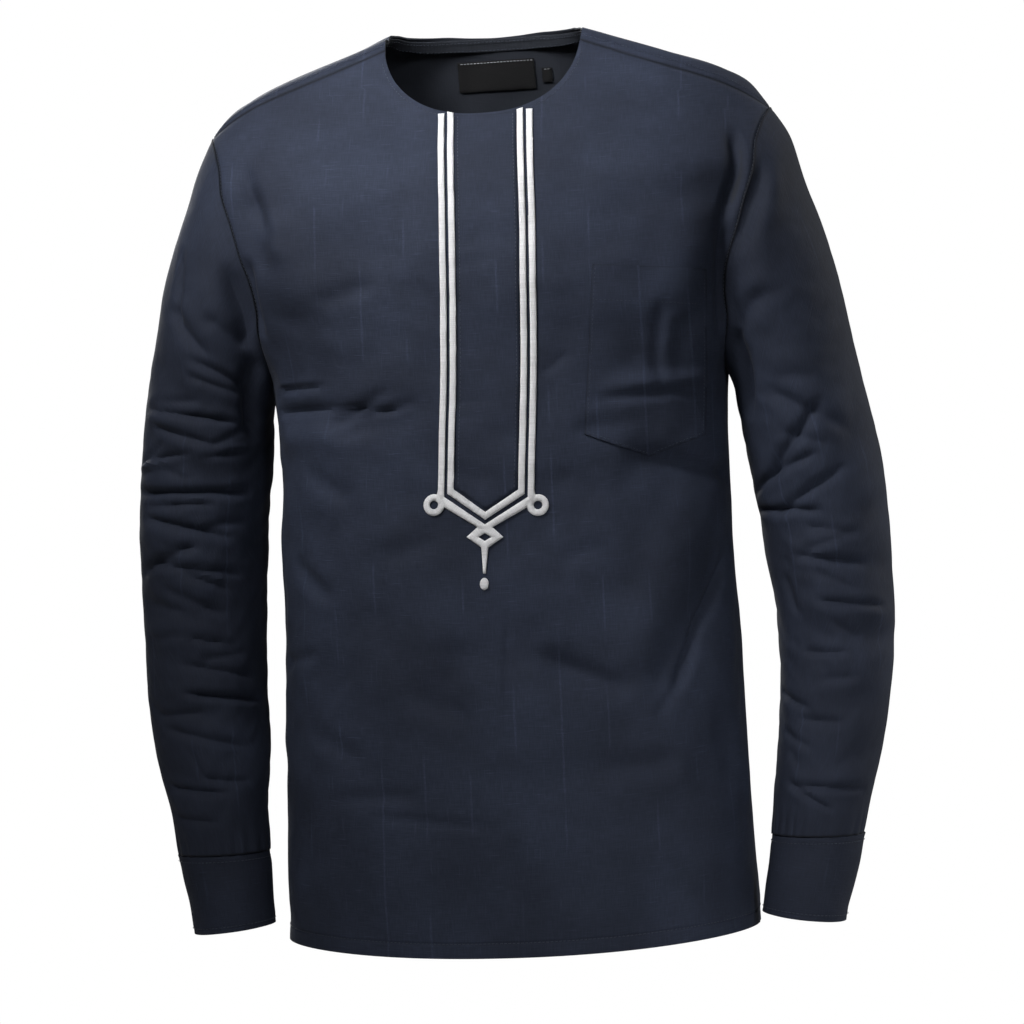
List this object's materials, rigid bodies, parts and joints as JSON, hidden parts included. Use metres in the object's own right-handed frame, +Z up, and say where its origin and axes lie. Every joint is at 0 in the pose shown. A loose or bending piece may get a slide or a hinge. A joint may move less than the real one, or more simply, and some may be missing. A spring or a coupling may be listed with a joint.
{
  "type": "linen shirt",
  "caption": "Collarless long-sleeved navy linen shirt with white satin-stitched front ornament, filled out as worn.",
  "frame": {"origin": "centre of the neck opening, level with the points where neck and shoulders meet, where the wearer holds the shirt", "axes": "+Z up, front faces -Y, +X towards the wearer's left"},
  "size_m": [0.6315, 0.2425, 0.765],
  "materials": {
    "linen": "matt woven",
    "facing": "matt woven",
    "thread": "satin stitched",
    "label": "woven",
    "button": "satin"
  },
  "bodies": {
    "root": {"front": "linen", "back": "linen", "sleeve_right": "linen", "sleeve_left": "linen", "cuff_right": "linen", "cuff_left": "linen", "cuff_button_right": "button", "cuff_button_left": "button", "placket": "linen", "trim_outer": "thread", "trim_inner": "thread", "trim_drop": "thread", "pocket": "linen", "neck_band": "facing", "neck_label": "label", "size_tab": "label"}
  },
  "joints": []
}
